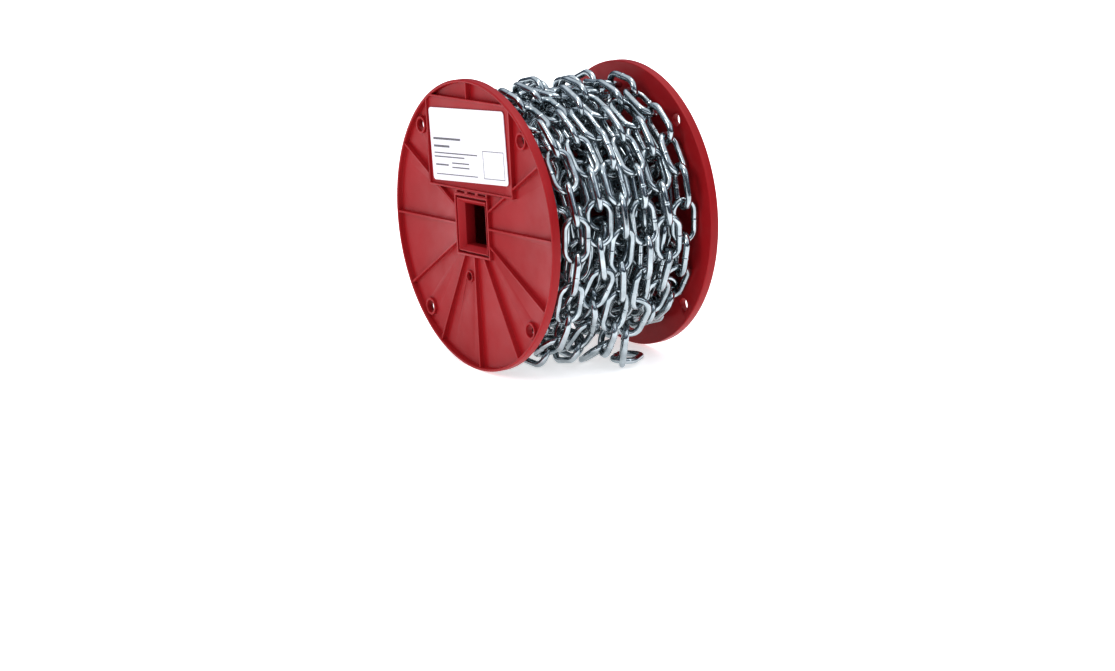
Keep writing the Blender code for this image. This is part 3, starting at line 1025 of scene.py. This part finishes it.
def links_mesh(name, centres, frames, sides, crown_steps, welded):
    """All these links as one mesh. Some are turned over, which puts their weld on the other side."""
    vertices, faces = link_template(sides, crown_steps, welded)
    places = []
    for number, (centre, turn) in enumerate(zip(centres, frames)):
        turned_over = number % TURNED_OVER_EVERY == 1
        flip = np.array((1.0, -1.0, -1.0)) if turned_over else np.ones(3)
        places.append((vertices * flip) @ turn.T + centre)
    places = np.concatenate(places) * MM
    indices = np.concatenate([faces + len(vertices) * n for n in range(len(centres))])
    corners = indices.shape[1]
    mesh = bpy.data.meshes.new(name)
    mesh.vertices.add(len(places))
    mesh.vertices.foreach_set("co", places.ravel())
    mesh.loops.add(indices.size)
    mesh.loops.foreach_set("vertex_index", indices.ravel())
    mesh.polygons.add(len(indices))
    mesh.polygons.foreach_set("loop_start", np.arange(0, indices.size, corners))
    mesh.polygons.foreach_set("loop_total", np.full(len(indices), corners))
    mesh.update(calc_edges=True)
    mesh.validate()
    mesh.shade_smooth()
    return mesh


def make_chain(material):
    random = np.random.default_rng(SEED)
    runs = list(outer_runs(random))
    runs += [inner_run(layer, random) for layer in INNER_LAYERS]
    sizes = [len(run) for run in runs]
    centres = np.array([centre for run in runs for centre, _ in run])
    frames = np.array([turn for run in runs for _, turn in run])
    holds = np.repeat([hold for _, _, hold, _, _, _ in CHAIN_PIECES], sizes)
    steps = SETTLE_STEPS
    centres, frames = settle(centres, frames, steps, holds)
    start = 0
    for (name, nodes, _, sides, crown_steps, welded), size in zip(CHAIN_PIECES, sizes):
        end = start + size
        mesh = links_mesh(name, centres[start:end], frames[start:end], sides, crown_steps, welded)
        obj = make_object(name, mesh, material)
        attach(obj, "root")
        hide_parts(*nodes)
        start = end


# Stage, lights and camera

def make_stage():
    material, _, _, shader = new_material("pale_floor")
    shader.inputs["Base Color"].default_value = (0.85, 0.85, 0.85, 1.0)
    shader.inputs["Roughness"].default_value = 1.0
    shader.inputs["Emission Color"].default_value = (1.0, 1.0, 1.0, 1.0)
    shader.inputs["Emission Strength"].default_value = FLOOR_GLOW
    size = FLOOR_HALF_SIZE
    corners = [(-size, -size, 0.0), (size, -size, 0.0), (size, size, 0.0), (-size, size, 0.0)]
    mesh = bpy.data.meshes.new("floor")
    mesh.from_pydata(corners, [], [(0, 1, 2, 3)])
    make_object("floor", mesh, material)


def area_light(name, place, size, power):
    data = bpy.data.lights.new(name, "AREA")
    data.shape = "RECTANGLE"
    data.size, data.size_y = size
    data.energy = power
    light = bpy.data.objects.new(name, data)
    bpy.context.scene.collection.objects.link(light)
    light.location = place
    light.rotation_mode = "QUATERNION"
    light.rotation_quaternion = (Vector(LIGHT_TARGET) - Vector(place)).to_track_quat("-Z", "Y")


def make_world():
    """A bright ceiling above dim walls."""
    world = bpy.data.worlds.new("studio")
    bpy.context.scene.world = world
    world.use_nodes = True
    nodes = world.node_tree.nodes
    links = world.node_tree.links
    split = nodes.new("ShaderNodeSeparateXYZ")
    links.new(nodes.new("ShaderNodeTexCoord").outputs["Generated"], split.inputs["Vector"])
    background = nodes["Background"]
    links.new(add_ramp(nodes, links, split.outputs["Z"], WORLD_STOPS), background.inputs["Color"])
    background.inputs["Strength"].default_value = WORLD_STRENGTH


def make_camera():
    data = bpy.data.cameras.new("camera")
    data.sensor_width = CAMERA_SENSOR
    data.lens = CAMERA_LENS
    camera = bpy.data.objects.new("camera", data)
    bpy.context.scene.collection.objects.link(camera)
    level = math.cos(CAMERA_PITCH)
    back_x = math.sin(CAMERA_AZIMUTH) * level
    back_y = -math.cos(CAMERA_AZIMUTH) * level
    back = Vector((back_x, back_y, math.sin(CAMERA_PITCH)))
    camera.location = CAMERA_PLACE
    camera.rotation_mode = "QUATERNION"
    camera.rotation_quaternion = (-back).to_track_quat("-Z", "Y")
    bpy.context.scene.camera = camera


make_camera()
for light_name, light_place, light_size, light_power in LIGHTS:
    area_light(light_name, light_place, light_size, light_power)
make_world()
make_stage()
plastic = make_plastic()
zinc = make_zinc()
paper = make_paper()

roll = Matrix.Rotation(-REEL_ROLL, 4, "Y")
middle = Matrix.Translation((0.0, 0.0, REEL_CENTRE_Z * MM))
outwards = Matrix.Translation((0.0, -REEL_WIDTH / 2.0 * MM, 0.0))
label_side = middle @ roll @ outwards
far_side = middle @ roll @ Matrix.Rotation(math.pi, 4, "Z") @ outwards

flange_mesh = soften_edges(joined_flange())
for name, node, matrix in (("label_side_flange", "flange_label_side", label_side),
                           ("far_side_flange", "flange_far_side", far_side)):
    placed = flange_mesh.copy()
    placed.transform(matrix)
    flange = make_object(name, placed, plastic)
    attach(flange, "root")
    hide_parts(node)

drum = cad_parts["drum"]
drum.data.materials.clear()
drum.data.materials.append(plastic)

label = make_label(paper, label_side)
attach(label, "root")
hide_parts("label")
rules = make_label_print(make_ink(), label)
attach(rules, "root")

make_chain(zinc)

bpy.context.scene.view_settings.view_transform = "Standard"
bpy.context.scene.view_settings.gamma = VIEW_GAMMA
